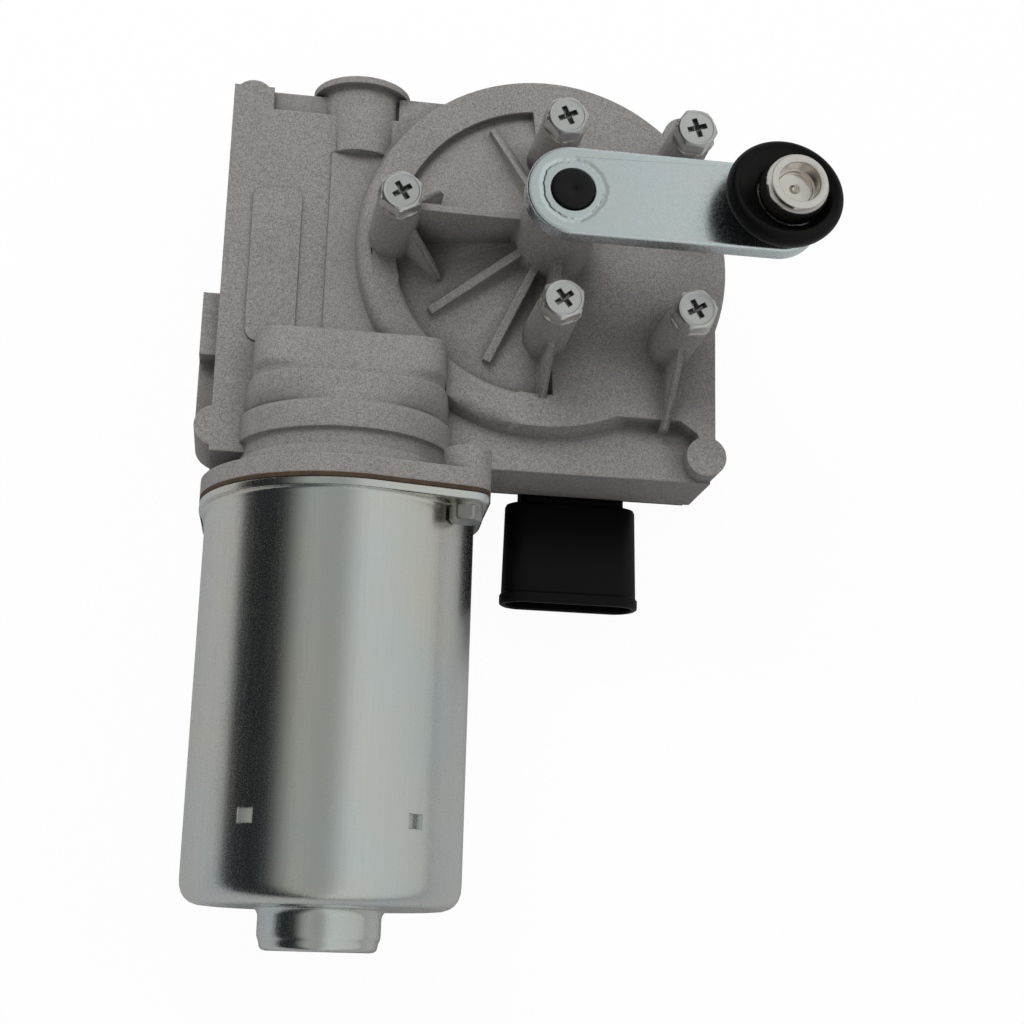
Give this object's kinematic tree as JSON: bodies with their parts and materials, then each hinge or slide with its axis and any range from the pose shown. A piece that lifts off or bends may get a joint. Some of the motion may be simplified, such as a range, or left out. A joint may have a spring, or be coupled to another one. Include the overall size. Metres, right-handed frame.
{
  "type": "wiper motor",
  "caption": "Worm-gear wiper motor: ribbed cast gear case, steel motor can, rotating output crank with ball stud and rubber cap, rear electronics cover and plug socket.",
  "frame": {"origin": "on the output shaft axis, level with the seats of the five mounting screws", "axes": "+Z out along the output shaft, +Y from the motor can towards the top of the gear case, +X along the crank at rest"},
  "size_m": [0.1466, 0.2194, 0.0978],
  "materials": {
    "cast_case": "blasted casting",
    "can_steel": "zinc plated, satin",
    "arm_steel": "zinc plated, satin",
    "screw_steel": "zinc plated",
    "shaft_steel": "hardened, dark",
    "ball_steel": "nickel plated",
    "cap_rubber": "matt",
    "seal_rubber": "matt",
    "gasket_fibre": "matt fibre",
    "cover_plastic": "fine grain",
    "socket_plastic": "fine grain",
    "wheel_plastic": "moulded",
    "bush_bronze": "sintered",
    "copper": "wound or turned",
    "brass": "bright",
    "iron": "laminated",
    "ferrite": "sintered",
    "hub_steel": "turned",
    "carbon": "pressed carbon",
    "plate_plastic": "moulded",
    "board_laminate": "laminate",
    "board_black": "moulded"
  },
  "bodies": {
    "case": {"gear_housing": "cast_case", "shaft_bush_lower": "bush_bronze", "shaft_bush_upper": "bush_bronze", "shaft_seal": "seal_rubber", "mounting_screws": "screw_steel", "worm_end_bush": "bush_bronze", "worm_thrust_pad": "plate_plastic", "end_plug": "hub_steel", "armature_bearing": "bush_bronze", "motor_gasket": "gasket_fibre", "motor_can": "can_steel", "magnets": "ferrite", "can_bush": "bush_bronze", "bush_clip": "screw_steel", "can_thrust_disc": "plate_plastic", "flange_bolts": "screw_steel", "brush_plate": "plate_plastic", "brush_boxes": "brass", "brushes": "carbon", "brush_springs": "screw_steel", "chokes": "copper", "cover_seal": "seal_rubber", "rear_cover": "cover_plastic", "cover_screws": "screw_steel", "circuit_board": "board_laminate", "board_parts": "board_black", "board_screws": "screw_steel", "connector_housing": "socket_plastic", "connector_pins": "brass"},
    "crank": {"output_shaft": "shaft_steel", "thrust_washer": "hub_steel", "spacer_washer": "screw_steel", "wheel_hub": "hub_steel", "worm_wheel": "wheel_plastic", "position_magnet": "ferrite", "crank_arm": "arm_steel", "ball_stud": "ball_steel", "ball_cap": "cap_rubber"},
    "armature": {"armature_shaft": "hub_steel", "lamination_stack": "iron", "windings": "copper", "commutator": "copper"}
  },
  "joints": [
    {"name": "crank_turn", "type": "hinge", "parent": "case", "child": "crank", "pos_m": [0, 0, 0], "axis": [0, 0, 1], "continuous": true},
    {"name": "armature_turn", "type": "hinge", "parent": "case", "child": "armature", "pos_m": [-0.047, 0, -0.035], "axis": [0, 1, 0], "continuous": true}
  ],
  "couplings": [
    {"joint": "armature_turn", "follows": "crank_turn", "ratio": 56}
  ]
}
